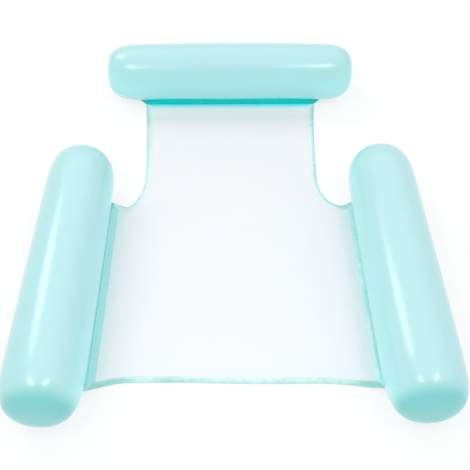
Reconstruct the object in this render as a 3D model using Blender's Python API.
# Inflatable water lounger: a head tube, two arm tubes and a mesh seat slung between them.
#
# Metres, +Z up.  The three tubes lie on Z = 0, the head tube is at +Y and the seat's hem at -Y.
# The origin is under the middle of the whole lounger.  Each tube folds up over the seat about the
# line where its weld flap meets the mesh, and each tube has its own push-in valve.

import math

import bmesh
import bpy
from mathutils import Matrix, Vector
from mathutils.geometry import delaunay_2d_cdt

MM = 0.001

# Driving sizes of the whole lounger.
ARM_SPACING = 840 * MM            # between the axes of the two arm tubes
HEAD_SETBACK = 803 * MM           # from the middle of the arm tubes to the head tube's axis
TUBE_DIAMETER = 182 * MM
TUBE_LENGTH = 794 * MM
END_ROUND_LENGTH = 137 * MM       # length over which a tube's end rounds off
END_SQUARENESS = 3.4              # exponent of that rounding: 2 is an ellipse, more is squarer
FILM = 0.3 * MM                   # wall of the tubes
GAP = 0.3 * MM                    # between pieces that touch
FOOT_DEPTH = 0.5 * MM             # flat that the weight presses under each tube

# Weld flaps, which join the tubes to the mesh.
FLAP_WIDTH = 21.5 * MM            # free width, from the weld on the tube to the mesh seam
FLAP_WELD = 12 * MM               # width welded to the tube
FLAP_THICKNESS = 0.4 * MM
FLAP_FLARE = 20 * MM              # how much further each end reaches at the tube than at the seam
LEFT_WELD_ANGLE = 52              # degrees below the tube's middle, on the side of the seat
RIGHT_WELD_ANGLE = 58
HEAD_WELD_ANGLE = 60
SEAM_HEIGHT = 13 * MM             # height of the seam line over the ground
SEAM_LINE_GAP = 0.35 * MM         # from the fold line to the flap's edge
TAPE_LINE_GAP = 0.45 * MM         # from the fold line to the seam tape

# Mesh seat.
MESH_THICKNESS = 0.6 * MM
BINDING_WIDTH = 15 * MM
BINDING_PLY = 0.35 * MM
BINDING_MITRE_GAP = 0.3 * MM
ARM_SEAM_HALF = 292.5 * MM        # half the length of each arm seam
HEAD_SEAM_HALF = 277 * MM         # half the length of the head seam
NECK_HALF_WIDTH = 256 * MM        # half the neck's width where it is narrowest
SHOULDER_RUN = 42 * MM            # from the shoulder's dip out to the arm seam
SHOULDER_DIP = 8 * MM             # how far the shoulder dips below the arm seam's far end
SHOULDER_DROP = 105 * MM          # from the neck's narrowest place down to the shoulder's dip
NECK_CURVE = 1.5                  # exponent of the neck's flare towards the head seam
HEM_DRAW = 25 * MM                # how far the middle of the hem is drawn in from its corners
HEM_CORNER_LENGTH = 100 * MM      # length over which it is drawn in
SLOPE_LENGTH = 55 * MM            # length over which the mesh drops from a seam to the ground
MESH_PITCH = 46 * MM              # spacing of the panel's inner facets

# Push-in valves.  Heights are over the tube's outer surface.
VALVE_FLANGE_RADIUS = 18 * MM
VALVE_FLANGE_THICKNESS = 0.8 * MM
VALVE_FLANGE_CHAMFER = 0.4 * MM
STEM_RADIUS = 6 * MM
STEM_BORE_RADIUS = 4 * MM
STEM_LENGTH = 17 * MM
STEM_CLEARANCE = 0.4 * MM
COLLAR_WALL = 0.8 * MM
COLLAR_DEPTH = 1.7 * MM           # below the flange
MOUTH_LIP_RADIUS = 7 * MM
MOUTH_LIP_THICKNESS = 1 * MM
BASE_LIP_RADIUS = 7.2 * MM
BASE_LIP_THICKNESS = 0.8 * MM
CAP_RADIUS = 7 * MM
CAP_THICKNESS = 1.8 * MM
CAP_CHAMFER = 0.4 * MM
PLUG_LENGTH = 5 * MM
PLUG_TIP_TAPER = 0.9 * MM
STRAP_WIDTH = 4 * MM
STRAP_THICKNESS = 0.8 * MM
STRAP_REACH = 10 * MM             # from the valve's axis to the strap's fold
STRAP_FOLD_GAP = 0.1 * MM
STRAP_TAB_DROP = 0.2 * MM         # from the stem's mouth down to the top of its strap tab
STRAP_FOLD_LAP = 0.2 * MM
STRAP_ROOT = 0.5 * MM             # how deep the strap is rooted in the lip or the cap
PULL_TAB_REACH = 11 * MM
PULL_TAB_WIDTH = 6 * MM
MEMBRANE_RADIUS = 5.4 * MM
MEMBRANE_THICKNESS = 0.5 * MM
MEMBRANE_FOLD_INSET = 0.2 * MM
ARM_VALVE_ANGLE = 205             # degrees round the tube, from the seat side over the top
HEAD_VALVE_ANGLE = 155
VALVE_SETBACK = 175 * MM          # from the tube's end to the valve
CUTTER_OVERRUN = 6 * MM

# How finely round shapes are divided.
RING_LOWER_STEPS = 7
RING_UPPER_STEPS = 16
VALVE_STEPS = 20
SEAM_STEPS = 6
NECK_STEPS = 6
SHOULDER_STEPS = 7
HEM_STEPS = 16
SLEEVE_SHARES = (0.0, 0.10, 0.22, 0.36, 0.47, 0.56, 0.62)
DISC_SHARES = (0.56, 0.62, 0.72, 0.84, 0.93)
WELD_SHARES = (1, 0.5, 0)          # places across the weld, from its far edge to the free part
FLARE_SHARES = (1, 1, 1, 0.5, 0)   # how much of the flare each line along the flap has
TURNED_STRIPS = (3, 4, 8, 9, 10)    # strips of a binding's loft cut the other way, as the mesh is

# Sizes that follow from the driving ones.
TUBE_RADIUS = TUBE_DIAMETER / 2
CYLINDER_HALF = TUBE_LENGTH / 2 - END_ROUND_LENGTH
AXIS_HEIGHT = TUBE_RADIUS - FOOT_DEPTH
FOOT_HALF_ANGLE = math.acos(AXIS_HEIGHT / TUBE_RADIUS)
TIP_INSET = FILM + GAP            # the end discs lie this much inside the tube's ideal outline
ARM_MIDDLE = (TUBE_LENGTH / 2 - TIP_INSET - TUBE_RADIUS - HEAD_SETBACK) / 2
HEAD_AXIS = ARM_MIDDLE + HEAD_SETBACK
MESH_LEVEL = BINDING_PLY + GAP + MESH_THICKNESS / 2
VALVE_PLACE = TUBE_LENGTH / 2 - VALVE_SETBACK

FLANGE_TOP = GAP + VALVE_FLANGE_THICKNESS
COLLAR_BORE_RADIUS = STEM_RADIUS + STEM_CLEARANCE
COLLAR_RADIUS = COLLAR_BORE_RADIUS + COLLAR_WALL
MOUTH_HEIGHT = FLANGE_TOP + GAP + MOUTH_LIP_THICKNESS
STEM_BASE = MOUTH_HEIGHT - STEM_LENGTH
CAP_BASE = MOUTH_HEIGHT + GAP
TAB_TOP = MOUTH_HEIGHT - STRAP_TAB_DROP
STRAP_FOLD_HEIGHT = (TAB_TOP + CAP_BASE) / 2
MEMBRANE_TOP = STEM_BASE - GAP
MEMBRANE_FOLD_RADIUS = MEMBRANE_RADIUS - MEMBRANE_FOLD_INSET

COLOURS = {
    "vinyl_film": ((0.50, 0.80, 0.80, 1.0), 0.18),
    "vinyl_flap": ((0.20, 0.68, 0.68, 1.0), 0.22),
    "vinyl_binding": ((0.52, 0.78, 0.78, 1.0), 0.30),
    "polyester_mesh": ((0.88, 0.90, 0.92, 1.0), 0.75),
    "valve_vinyl": ((0.80, 0.90, 0.90, 1.0), 0.25),
}


def clear_scene():
    for item in list(bpy.data.objects):
        bpy.data.objects.remove(item, do_unlink=True)


def material(name):
    found = bpy.data.materials.get(name)
    if found:
        return found
    colour, roughness = COLOURS[name]
    made = bpy.data.materials.new(name)
    made.use_nodes = True
    shader = made.node_tree.nodes["Principled BSDF"]
    shader.inputs["Base Color"].default_value = colour
    shader.inputs["Roughness"].default_value = roughness
    shader.inputs["Metallic"].default_value = 0.0
    return made


def make_object(name, corners, faces, finish, parent=None):
    # Makes one named solid from its corner points, turned right way out and shaded smooth.
    mesh = bpy.data.meshes.new(name)
    mesh.from_pydata([tuple(corner) for corner in corners], [], faces)
    bm = bmesh.new()
    bm.from_mesh(mesh)
    bmesh.ops.recalc_face_normals(bm, faces=bm.faces)
    bm.to_mesh(mesh)
    bm.free()
    mesh.shade_smooth()
    mesh.set_sharp_from_angle(angle=math.radians(35))
    made = bpy.data.objects.new(name, mesh)
    bpy.context.collection.objects.link(made)
    made.data.materials.append(material(finish))
    if parent:
        made.parent = parent
    return made


def make_empty(name, place, parent=None):
    # Makes an axis marker with the given placement under its parent.
    made = bpy.data.objects.new(name, None)
    bpy.context.collection.objects.link(made)
    made.empty_display_size = TUBE_RADIUS / 4
    if parent:
        made.parent = parent
    made.matrix_local = place
    return made


def boolean(target, other, operation):
    # Joins or cuts with another object, which is then only a guide.
    modifier = target.modifiers.new(operation.lower(), "BOOLEAN")
    modifier.operation = operation
    modifier.solver = "EXACT"
    modifier.object = other
    other.hide_render = True
    other.display_type = "WIRE"


def loft(sections):
    # Skins a row of closed sections with the same number of points; returns corners and faces.
    count = len(sections[0])
    corners = [point for section in sections for point in section]
    faces = []
    for row in range(len(sections) - 1):
        for step in range(count):
            after = (step + 1) % count
            low, high = row * count, (row + 1) * count
            faces.append((low + step, low + after, high + after, high + step))
    return corners, faces


def fold_alike(faces, count, turned):
    # Cuts a loft's quads into triangles, so that both sides of a thin wall fold along the same lines.
    # A strip between two points is cut from its first point onwards, and a turned one the other way.
    cut = []
    for index, (low, low_after, high_after, high) in enumerate(faces):
        if index % count in turned:
            cut += [(low, low_after, high), (low_after, high_after, high)]
        else:
            cut += [(low, low_after, high_after), (low, high_after, high)]
    return cut


def spin(profile, steps):
    # Turns a closed (radius, height) profile about Z; points on the axis are shared.
    corners, rows = [], []
    for radius, height in profile:
        if radius == 0:
            rows.append([len(corners)] * steps)
            corners.append((0, 0, height))
            continue
        rows.append([len(corners) + step for step in range(steps)])
        for step in range(steps):
            turn = 2 * math.pi * step / steps
            corners.append((radius * math.cos(turn), radius * math.sin(turn), height))
    faces = []
    for row, upper in zip(rows, rows[1:] + rows[:1]):
        for step in range(steps):
            after = (step + 1) % steps
            loop = []
            for corner in (row[step], row[after], upper[after], upper[step]):
                if corner not in loop:
                    loop.append(corner)
            if len(loop) > 2:
                faces.append(loop)
    return corners, faces


def block(low, high):
    # Corners and faces of an upright box.
    corners = [(x, y, z) for x in (low[0], high[0]) for y in (low[1], high[1]) for z in (low[2], high[2])]
    faces = [(0, 1, 3, 2), (4, 6, 7, 5), (0, 4, 5, 1), (2, 3, 7, 6), (0, 2, 6, 4), (1, 5, 7, 3)]
    return corners, faces


# Tube shape, in a frame with the tube's axis along Y and the seat towards +X.

def ring_turns():
    # Angles round the tube: a flat foot at the bottom, and corners exactly at both sides and the top.
    start = FOOT_HALF_ANGLE - math.pi / 2
    rising = [start * (1 - step / RING_LOWER_STEPS) for step in range(RING_LOWER_STEPS)]
    over = [math.pi * step / RING_UPPER_STEPS for step in range(RING_UPPER_STEPS + 1)]
    falling = [math.pi - turn for turn in reversed(rising)]
    return rising + over + falling


def end_point(share, inset):
    # Point (along, radius) of a tube's end at a share of the way to its tip, moved in by the inset.
    power = 2 / END_SQUARENESS
    turn = share * math.pi / 2
    along = math.sin(turn) ** power
    out = max(math.cos(turn), 0.0) ** power
    slope_along = along ** (END_SQUARENESS - 1) / END_ROUND_LENGTH
    slope_out = out ** (END_SQUARENESS - 1) / TUBE_RADIUS
    size = math.hypot(slope_along, slope_out)
    return (CYLINDER_HALF + END_ROUND_LENGTH * along - inset * slope_along / size,
            TUBE_RADIUS * out - inset * slope_out / size)


def radius_at(along):
    # Outer radius of the tube at a distance from its middle.
    past = max(abs(along) - CYLINDER_HALF, 0) / END_ROUND_LENGTH
    return TUBE_RADIUS * (1 - past ** END_SQUARENESS) ** (1 / END_SQUARENESS)


def tube_ring(along, radius):
    return [Vector((radius * math.cos(turn), along, radius * math.sin(turn))) for turn in ring_turns()]


def sleeve_solid():
    # The tube's wall, open at both ends, as one loop of rings that runs out along and back inside.
    outer = [end_point(share, 0) for share in SLEEVE_SHARES]
    inner = [end_point(share, FILM) for share in SLEEVE_SHARES]
    outside = [(-along, radius) for along, radius in reversed(outer)] + outer
    inside = [(-along, radius) for along, radius in reversed(inner)] + inner
    rings = [tube_ring(*point) for point in outside + list(reversed(inside))]
    return loft(rings + rings[:1])


def disc_solid(side):
    # A domed end disc, lapped inside the sleeve's end; side is 1 or -1 along the tube.
    outset, inset = TIP_INSET, TIP_INSET + FILM
    tip = end_point(1, outset)
    inner_tip = end_point(1, inset)
    outer = [end_point(share, outset) for share in DISC_SHARES]
    inner = [end_point(share, inset) for share in DISC_SHARES]
    rings = [tube_ring(side * along, radius) for along, radius in list(reversed(outer)) + inner]
    corners, faces = loft(rings)
    count = len(rings[0])
    last = len(corners) - count
    corners += [Vector((0, side * tip[0], 0)), Vector((0, side * inner_tip[0], 0))]
    outer_pole, inner_pole = len(corners) - 2, len(corners) - 1
    for step in range(count):
        after = (step + 1) % count
        faces.append((step, after, outer_pole))
        faces.append((last + step, last + after, inner_pole))
    return corners, faces


def weld_point(weld_angle, along=0.0):
    # Middle of the flap's thickness on the tube's lower inner side, about the tube's axis.
    turn = -math.radians(weld_angle)
    out = radius_at(along) + GAP + FLAP_THICKNESS / 2
    return Vector((out * math.cos(turn), out * math.sin(turn)))


def seam_reach(weld_angle):
    # Distance in plan from the tube's axis to the fold line at the mesh seam.
    weld = weld_point(weld_angle)
    drop = AXIS_HEIGHT + weld.y - SEAM_HEIGHT
    return weld.x + math.sqrt(FLAP_WIDTH ** 2 - drop ** 2)


def flap_solid(weld_angle, seam_half):
    # The weld flap: a strip that hugs the tube along its weld and then runs out to the seam.
    weld_turn = math.degrees(FLAP_WELD / TUBE_RADIUS)
    seam = Vector((seam_reach(weld_angle), SEAM_HEIGHT - AXIS_HEIGHT))
    toward = (weld_point(weld_angle) - seam).normalized()
    weld_half = seam_half + FLAP_FLARE
    stations = [1]
    if weld_half > CYLINDER_HALF:
        stations = [CYLINDER_HALF / weld_half, 1]
    sections = []
    for along_share in [-station for station in reversed(stations)] + stations:
        edge = weld_half * along_share
        path = [weld_point(weld_angle + weld_turn * share, edge) for share in WELD_SHARES]
        middle = (path[-1] + seam) / 2
        path += [middle, seam + toward * SEAM_LINE_GAP]
        offsets = offset_path(path, FLAP_THICKNESS / 2)
        section = []
        for side in (0, 1):
            points = [(pair[side], flare) for pair, flare in zip(offsets, FLARE_SHARES)]
            for point, flare in points if side == 0 else reversed(points):
                reach = seam_half + FLAP_FLARE * flare
                section.append(Vector((point.x, reach * along_share, point.y)))
        sections.append(section)
    corners, faces = loft(sections)
    count = len(sections[0])
    faces = fold_alike(faces, count, range(count // 2, count - 1))
    return corners, faces + end_caps(corners, count)


def end_caps(corners, count):
    # Faces across both ends of a lofted wall whose section runs out along one side and back on the other.
    faces = []
    last = len(corners) - count
    for step in range(count // 2 - 1):
        opposite = count - 1 - step
        faces.append((step, step + 1, opposite - 1, opposite))
        faces.append((last + step, last + step + 1, last + opposite - 1, last + opposite))
    return faces


def offset_path(path, distance):
    # For each point of a flat path, the points at the distance to its left and to its right.
    pairs = []
    for index, point in enumerate(path):
        before = path[max(index - 1, 0)]
        after = path[min(index + 1, len(path) - 1)]
        arrive = (point - before).normalized() if index else (after - point).normalized()
        leave = (after - point).normalized() if index < len(path) - 1 else arrive
        normal_in = Vector((-arrive.y, arrive.x))
        normal_out = Vector((-leave.y, leave.x))
        mitre = (normal_in + normal_out) / (1 + normal_in.dot(normal_out))
        pairs.append((point + mitre * distance, point - mitre * distance))
    return pairs


# Valve, in a frame with Z out of the tube, X along the tube and Y round it; Z = 0 is the surface.

def bend_to_tube(corners):
    # Lowers points beside the valve's middle line so that a flat ring follows the tube.
    return [(x, y, z - (TUBE_RADIUS - math.sqrt(TUBE_RADIUS ** 2 - y ** 2))) for x, y, z in corners]


def flange_solid():
    middle = (COLLAR_RADIUS + VALVE_FLANGE_RADIUS) / 2
    profile = [
        (COLLAR_BORE_RADIUS, FLANGE_TOP),
        (middle, FLANGE_TOP),
        (VALVE_FLANGE_RADIUS - VALVE_FLANGE_CHAMFER, FLANGE_TOP),
        (VALVE_FLANGE_RADIUS, FLANGE_TOP - VALVE_FLANGE_CHAMFER),
        (VALVE_FLANGE_RADIUS, GAP),
        (middle, GAP),
        (COLLAR_RADIUS, GAP),
        (COLLAR_RADIUS, GAP - COLLAR_DEPTH),
        (COLLAR_BORE_RADIUS, GAP - COLLAR_DEPTH),
    ]
    corners, faces = spin(profile, VALVE_STEPS)
    return bend_to_tube(corners), faces


def stem_solid():
    profile = [
        (STEM_BORE_RADIUS, MOUTH_HEIGHT),
        (MOUTH_LIP_RADIUS, MOUTH_HEIGHT),
        (MOUTH_LIP_RADIUS, MOUTH_HEIGHT - MOUTH_LIP_THICKNESS),
        (STEM_RADIUS, MOUTH_HEIGHT - MOUTH_LIP_THICKNESS),
        (STEM_RADIUS, STEM_BASE + BASE_LIP_THICKNESS),
        (BASE_LIP_RADIUS, STEM_BASE + BASE_LIP_THICKNESS),
        (BASE_LIP_RADIUS, STEM_BASE),
        (STEM_BORE_RADIUS, STEM_BASE),
    ]
    return spin(profile, VALVE_STEPS)


def stopper_solid():
    plug_radius = STEM_BORE_RADIUS - GAP
    profile = [
        (0, CAP_BASE + CAP_THICKNESS),
        (CAP_RADIUS - CAP_CHAMFER, CAP_BASE + CAP_THICKNESS),
        (CAP_RADIUS, CAP_BASE + CAP_THICKNESS - CAP_CHAMFER),
        (CAP_RADIUS, CAP_BASE),
        (plug_radius, CAP_BASE),
        (plug_radius - PLUG_TIP_TAPER, CAP_BASE - PLUG_LENGTH),
        (0, CAP_BASE - PLUG_LENGTH),
    ]
    return spin(profile, VALVE_STEPS)


def membrane_solid():
    profile = [
        (0, MEMBRANE_TOP),
        (MEMBRANE_RADIUS, MEMBRANE_TOP),
        (MEMBRANE_RADIUS, MEMBRANE_TOP - MEMBRANE_THICKNESS),
        (0, MEMBRANE_TOP - MEMBRANE_THICKNESS),
    ]
    return spin(profile, VALVE_STEPS)


def shifted(solid, offset):
    corners, faces = solid
    return [Vector(corner) - Vector(offset) for corner in corners], faces


def build_valve(name, tube_frame, sleeve, valve_angle, valve_along):
    # Builds one valve: welded flange, sliding stem, strapped stopper and non-return membrane.
    turn = math.radians(valve_angle)
    out = Vector((math.cos(turn), 0, math.sin(turn)))
    along = Vector((0, 1, 0)) * math.copysign(1, valve_along)
    around = out.cross(along)
    place = Matrix((along, around, out)).transposed().to_4x4()
    place.translation = out * TUBE_RADIUS + Vector((0, valve_along, 0))
    frame = make_empty(name + "_valve_slide", place, tube_frame)

    make_object(name + "_valve_flange", *flange_solid(), "valve_vinyl", frame)
    reach = CUTTER_OVERRUN
    hole = [(0, reach), (COLLAR_RADIUS + GAP, reach), (COLLAR_RADIUS + GAP, -reach), (0, -reach)]
    cutter = make_object(name + "_valve_hole", *spin(hole, VALVE_STEPS), "vinyl_film", frame)
    boolean(sleeve, cutter, "DIFFERENCE")

    stem = make_object(name + "_valve_stem", *stem_solid(), "valve_vinyl", frame)
    tab = block((MOUTH_LIP_RADIUS - STRAP_ROOT, -STRAP_WIDTH / 2, TAB_TOP - STRAP_THICKNESS),
                (STRAP_REACH - STRAP_FOLD_GAP, STRAP_WIDTH / 2, TAB_TOP))
    boolean(stem, make_object(name + "_stem_tab", *tab, "valve_vinyl", frame), "UNION")

    fold = (STRAP_REACH, 0, STRAP_FOLD_HEIGHT)
    hinge = make_empty(name + "_stopper_hinge", Matrix.Translation(fold), frame)
    stopper = make_object(name + "_valve_stopper", *shifted(stopper_solid(), fold),
                          "valve_vinyl", hinge)
    strap = block((CAP_RADIUS - STRAP_ROOT, -STRAP_WIDTH / 2, CAP_BASE),
                  (STRAP_REACH + STRAP_FOLD_LAP, STRAP_WIDTH / 2, CAP_BASE + STRAP_THICKNESS))
    pull = block((-PULL_TAB_REACH, -PULL_TAB_WIDTH / 2, CAP_BASE + STRAP_ROOT),
                 (STRAP_ROOT - CAP_RADIUS, PULL_TAB_WIDTH / 2, CAP_BASE + STRAP_ROOT + STRAP_THICKNESS))
    for label, solid in (("_stopper_strap", strap), ("_stopper_pull", pull)):
        guide = make_object(name + label, *shifted(solid, fold), "valve_vinyl", hinge)
        boolean(stopper, guide, "UNION")

    edge = (MEMBRANE_FOLD_RADIUS, 0, MEMBRANE_TOP - MEMBRANE_THICKNESS / 2)
    fold_line = make_empty(name + "_membrane_hinge", Matrix.Translation(edge), frame)
    make_object(name + "_valve_membrane", *shifted(membrane_solid(), edge), "valve_vinyl", fold_line)


def build_tube(name, seam_place, heading, weld_angle, seam_half, valve_angle, valve_along):
    # Builds one tube with its flap and valve, parented to an empty on its fold line.
    place = Matrix.Translation(seam_place) @ Matrix.Rotation(heading, 4, "Z")
    hinge = make_empty(name + "_hinge", place)
    axis_offset = Vector((-seam_reach(weld_angle), 0, AXIS_HEIGHT - SEAM_HEIGHT))
    tube_frame = make_empty(name + "_axis", Matrix.Translation(axis_offset), hinge)
    sleeve = make_object(name + "_sleeve", *sleeve_solid(), "vinyl_film", tube_frame)
    for label, side in (("_end_disc_a", -1), ("_end_disc_b", 1)):
        make_object(name + label, *disc_solid(side), "vinyl_film", tube_frame)
    make_object(name + "_weld_flap", *flap_solid(weld_angle, seam_half), "vinyl_flap", tube_frame)
    build_valve(name, tube_frame, sleeve, valve_angle, valve_along)


# Mesh seat, in world coordinates.

LEFT_SEAM = seam_reach(LEFT_WELD_ANGLE) - ARM_SPACING / 2
RIGHT_SEAM = ARM_SPACING / 2 - seam_reach(RIGHT_WELD_ANGLE)
HEAD_SEAM = HEAD_AXIS - seam_reach(HEAD_WELD_ANGLE)
PANEL_INSET = TAPE_LINE_GAP + BINDING_PLY + GAP
PANEL_LEFT = LEFT_SEAM + PANEL_INSET
PANEL_RIGHT = RIGHT_SEAM - PANEL_INSET
PANEL_HEAD = HEAD_SEAM - PANEL_INSET
PANEL_FAR = ARM_MIDDLE + ARM_SEAM_HALF
PANEL_NEAR = ARM_MIDDLE - ARM_SEAM_HALF
SHOULDER_LEVEL = PANEL_FAR - SHOULDER_DIP
NECK_BASE = SHOULDER_LEVEL + SHOULDER_DROP


def panel_height(x, y):
    # Middle of the mesh: level with the bindings on the ground, rising to the fold line at each seam.
    rise = 0.0
    for away in (x - PANEL_LEFT, PANEL_RIGHT - x, PANEL_HEAD - y):
        share = min(max(away / SLOPE_LENGTH, 0), 1)
        rise += (SEAM_HEIGHT - MESH_LEVEL) * (1 - share) ** 2
    return MESH_LEVEL + rise


def panel_point(flat):
    return Vector((flat.x, flat.y, panel_height(flat.x, flat.y)))


def panel_normal(flat):
    probe = GAP
    tilt_x = panel_height(flat.x + probe, flat.y) - panel_height(flat.x - probe, flat.y)
    tilt_y = panel_height(flat.x, flat.y + probe) - panel_height(flat.x, flat.y - probe)
    return Vector((-tilt_x, -tilt_y, 2 * probe)).normalized()


def straight(start, end):
    return [start.lerp(end, step / SEAM_STEPS) for step in range(SEAM_STEPS)]


def neck_edge(side, seam_place):
    # One neck edge, from the head seam down and round to the shoulder's dip beside the arm seam.
    points = []
    flare = HEAD_SEAM_HALF - NECK_HALF_WIDTH
    dip = Vector((side * (seam_place - SHOULDER_RUN), SHOULDER_LEVEL))
    reach = abs(dip.x) - NECK_HALF_WIDTH
    for step in range(NECK_STEPS):
        share = 1 - step / NECK_STEPS
        points.append(Vector((side * (NECK_HALF_WIDTH + flare * share ** NECK_CURVE),
                              NECK_BASE + (PANEL_HEAD - NECK_BASE) * share)))
    for step in range(SHOULDER_STEPS):
        turn = step / SHOULDER_STEPS * math.pi / 2
        points.append(Vector((dip.x - side * reach * math.cos(turn),
                              NECK_BASE - SHOULDER_DROP * math.sin(turn))))
    return points + [dip]


def hem_edge():
    # The hem from left to right: straight on the ground, its corners pulled out along the seams.
    points = []
    for step in range(HEM_STEPS):
        x = PANEL_LEFT + (PANEL_RIGHT - PANEL_LEFT) * step / HEM_STEPS
        away = min(x - PANEL_LEFT, PANEL_RIGHT - x)
        share = min(away / HEM_CORNER_LENGTH, 1)
        points.append(Vector((x, PANEL_NEAR + HEM_DRAW * share * (2 - share))))
    return points


def panel_sides():
    # The six sides of the panel in order, each without its last corner, counter-clockwise.
    right_neck = neck_edge(1, PANEL_RIGHT)
    left_neck = neck_edge(-1, -PANEL_LEFT)
    left_corner = Vector((PANEL_LEFT, PANEL_FAR))
    right_corner = Vector((PANEL_RIGHT, PANEL_FAR))
    near_left = Vector((PANEL_LEFT, PANEL_NEAR))
    near_right = Vector((PANEL_RIGHT, PANEL_NEAR))
    head_left = Vector((-HEAD_SEAM_HALF, PANEL_HEAD))
    head_right = Vector((HEAD_SEAM_HALF, PANEL_HEAD))
    return {
        "hem_binding": hem_edge(),
        "right_seam_tape": straight(near_right, right_corner),
        "right_neck_binding": [right_corner] + list(reversed(right_neck[1:])),
        "head_seam_tape": straight(head_right, head_left),
        "left_neck_binding": left_neck,
        "left_seam_tape": straight(left_corner, near_left),
    }


def inner_outline(outline, distance):
    # The outline moved in by a distance, with mitred corners.
    moved = []
    for index, point in enumerate(outline):
        arrive = (point - outline[index - 1]).normalized()
        leave = (outline[(index + 1) % len(outline)] - point).normalized()
        normal_in, normal_out = Vector((-arrive.y, arrive.x)), Vector((-leave.y, leave.x))
        moved.append(point + (normal_in + normal_out) / (1 + normal_in.dot(normal_out)) * distance)
    return moved


def inside(point, outline):
    # Whether a point is inside an outline, by counting the edges to its right.
    crossings = 0
    for start, end in zip(outline, outline[1:] + outline[:1]):
        if (start.y > point.y) != (end.y > point.y):
            where = start.x + (end.x - start.x) * (point.y - start.y) / (end.y - start.y)
            crossings += where > point.x
    return crossings % 2 == 1


def lattice(low, high, fine_low, fine_high):
    # Places from low to high at about the mesh pitch, closer beside a raised seam.
    fine = [BINDING_WIDTH * 2, BINDING_WIDTH * 3, SLOPE_LENGTH]
    places = [low + step for step in fine if fine_low] + [high - step for step in fine if fine_high]
    start = low + (SLOPE_LENGTH if fine_low else BINDING_WIDTH)
    end = high - (SLOPE_LENGTH if fine_high else BINDING_WIDTH)
    steps = max(round((end - start) / MESH_PITCH), 1)
    return sorted(set(places + [start + (end - start) * step / steps for step in range(1, steps)]))


def build_panel(outline, inner):
    # Builds the mesh panel: a band under the bindings and a faceted field inside it.
    count = len(outline)
    margin = inner_outline(inner, BINDING_WIDTH / 2)
    field = [Vector((x, y)) for x in lattice(PANEL_LEFT, PANEL_RIGHT, True, True)
             for y in lattice(PANEL_NEAR + HEM_DRAW, PANEL_HEAD, False, True)]
    field = [point for point in field if inside(point, margin)]
    flats = outline + inner + field
    rim = [(count + index, count + (index + 1) % count) for index in range(count)]
    edges = [(start - count, end - count) for start, end in rim]
    merge = GAP / 100
    found, _, triangles, origins, _, _ = delaunay_2d_cdt(inner + field, edges, [], 1, merge)
    if len(found) != len(inner + field):
        raise ValueError("the panel's facets moved its points")
    first = {new: old[0] for new, old in enumerate(origins)}
    sheet = [tuple(first[corner] + count for corner in triangle) for triangle in triangles]
    for index in range(count):
        after = (index + 1) % count
        sheet += [(index, after, count + index), (after, count + after, count + index)]
    half = MESH_THICKNESS / 2
    upper = [panel_point(flat) + panel_normal(flat) * half for flat in flats]
    lower = [panel_point(flat) - panel_normal(flat) * half for flat in flats]
    total = len(flats)
    faces = sheet + [tuple(corner + total for corner in reversed(face)) for face in sheet]
    faces += [(index, (index + 1) % count, total + (index + 1) % count, total + index)
              for index in range(count)]
    make_object("mesh_panel", upper + lower, faces, "polyester_mesh")


def binding_section(edge, within):
    # Section of a folded tape round the mesh: outer points over and under, then inner points back.
    low = MESH_THICKNESS / 2 + GAP
    high = low + BINDING_PLY
    edge_point, inner_point = panel_point(edge), panel_point(within)
    edge_normal, inner_normal = panel_normal(edge), panel_normal(within)
    outward = (edge_point - inner_point).normalized()
    section = []
    for distance, fold in ((high, GAP + BINDING_PLY), (low, GAP)):
        loop = []
        for side in (1, -1):
            row = [inner_point + inner_normal * distance * side,
                   edge_point + edge_normal * distance * side,
                   edge_point + edge_normal * distance * side + outward * fold]
            loop += row if side == 1 else list(reversed(row))
        section.append(loop)
    return section[0] + list(reversed(section[1]))


def build_binding(name, edges, inners):
    # Folds a tape over a side of the panel, stopping short of the mitre at both ends.
    for row in (edges, inners):
        for end, neighbour in ((0, 1), (-1, -2)):
            step = (row[neighbour] - row[end]).normalized()
            row[end] = row[end] + step * BINDING_MITRE_GAP
    sections = [binding_section(edge, within) for edge, within in zip(edges, inners)]
    corners, faces = loft(sections)
    count = len(sections[0])
    faces = fold_alike(faces, count, TURNED_STRIPS) + end_caps(corners, count)
    make_object(name, corners, faces, "vinyl_binding")


def build_seat():
    sides = panel_sides()
    outline = [point for side in sides.values() for point in side]
    inner = inner_outline(outline, BINDING_WIDTH)
    build_panel(outline, inner)
    start = 0
    for name, side in sides.items():
        places = [(start + step) % len(outline) for step in range(len(side) + 1)]
        build_binding(name, [outline[place] for place in places], [inner[place] for place in places])
        start += len(side)


def main():
    clear_scene()
    build_seat()
    build_tube("left_arm", (LEFT_SEAM, ARM_MIDDLE, SEAM_HEIGHT), 0,
               LEFT_WELD_ANGLE, ARM_SEAM_HALF, ARM_VALVE_ANGLE, VALVE_PLACE)
    build_tube("right_arm", (RIGHT_SEAM, ARM_MIDDLE, SEAM_HEIGHT), math.pi,
               RIGHT_WELD_ANGLE, ARM_SEAM_HALF, ARM_VALVE_ANGLE, -VALVE_PLACE)
    build_tube("head_tube", (0, HEAD_SEAM, SEAM_HEIGHT), -math.pi / 2,
               HEAD_WELD_ANGLE, HEAD_SEAM_HALF, HEAD_VALVE_ANGLE, VALVE_PLACE)


main()
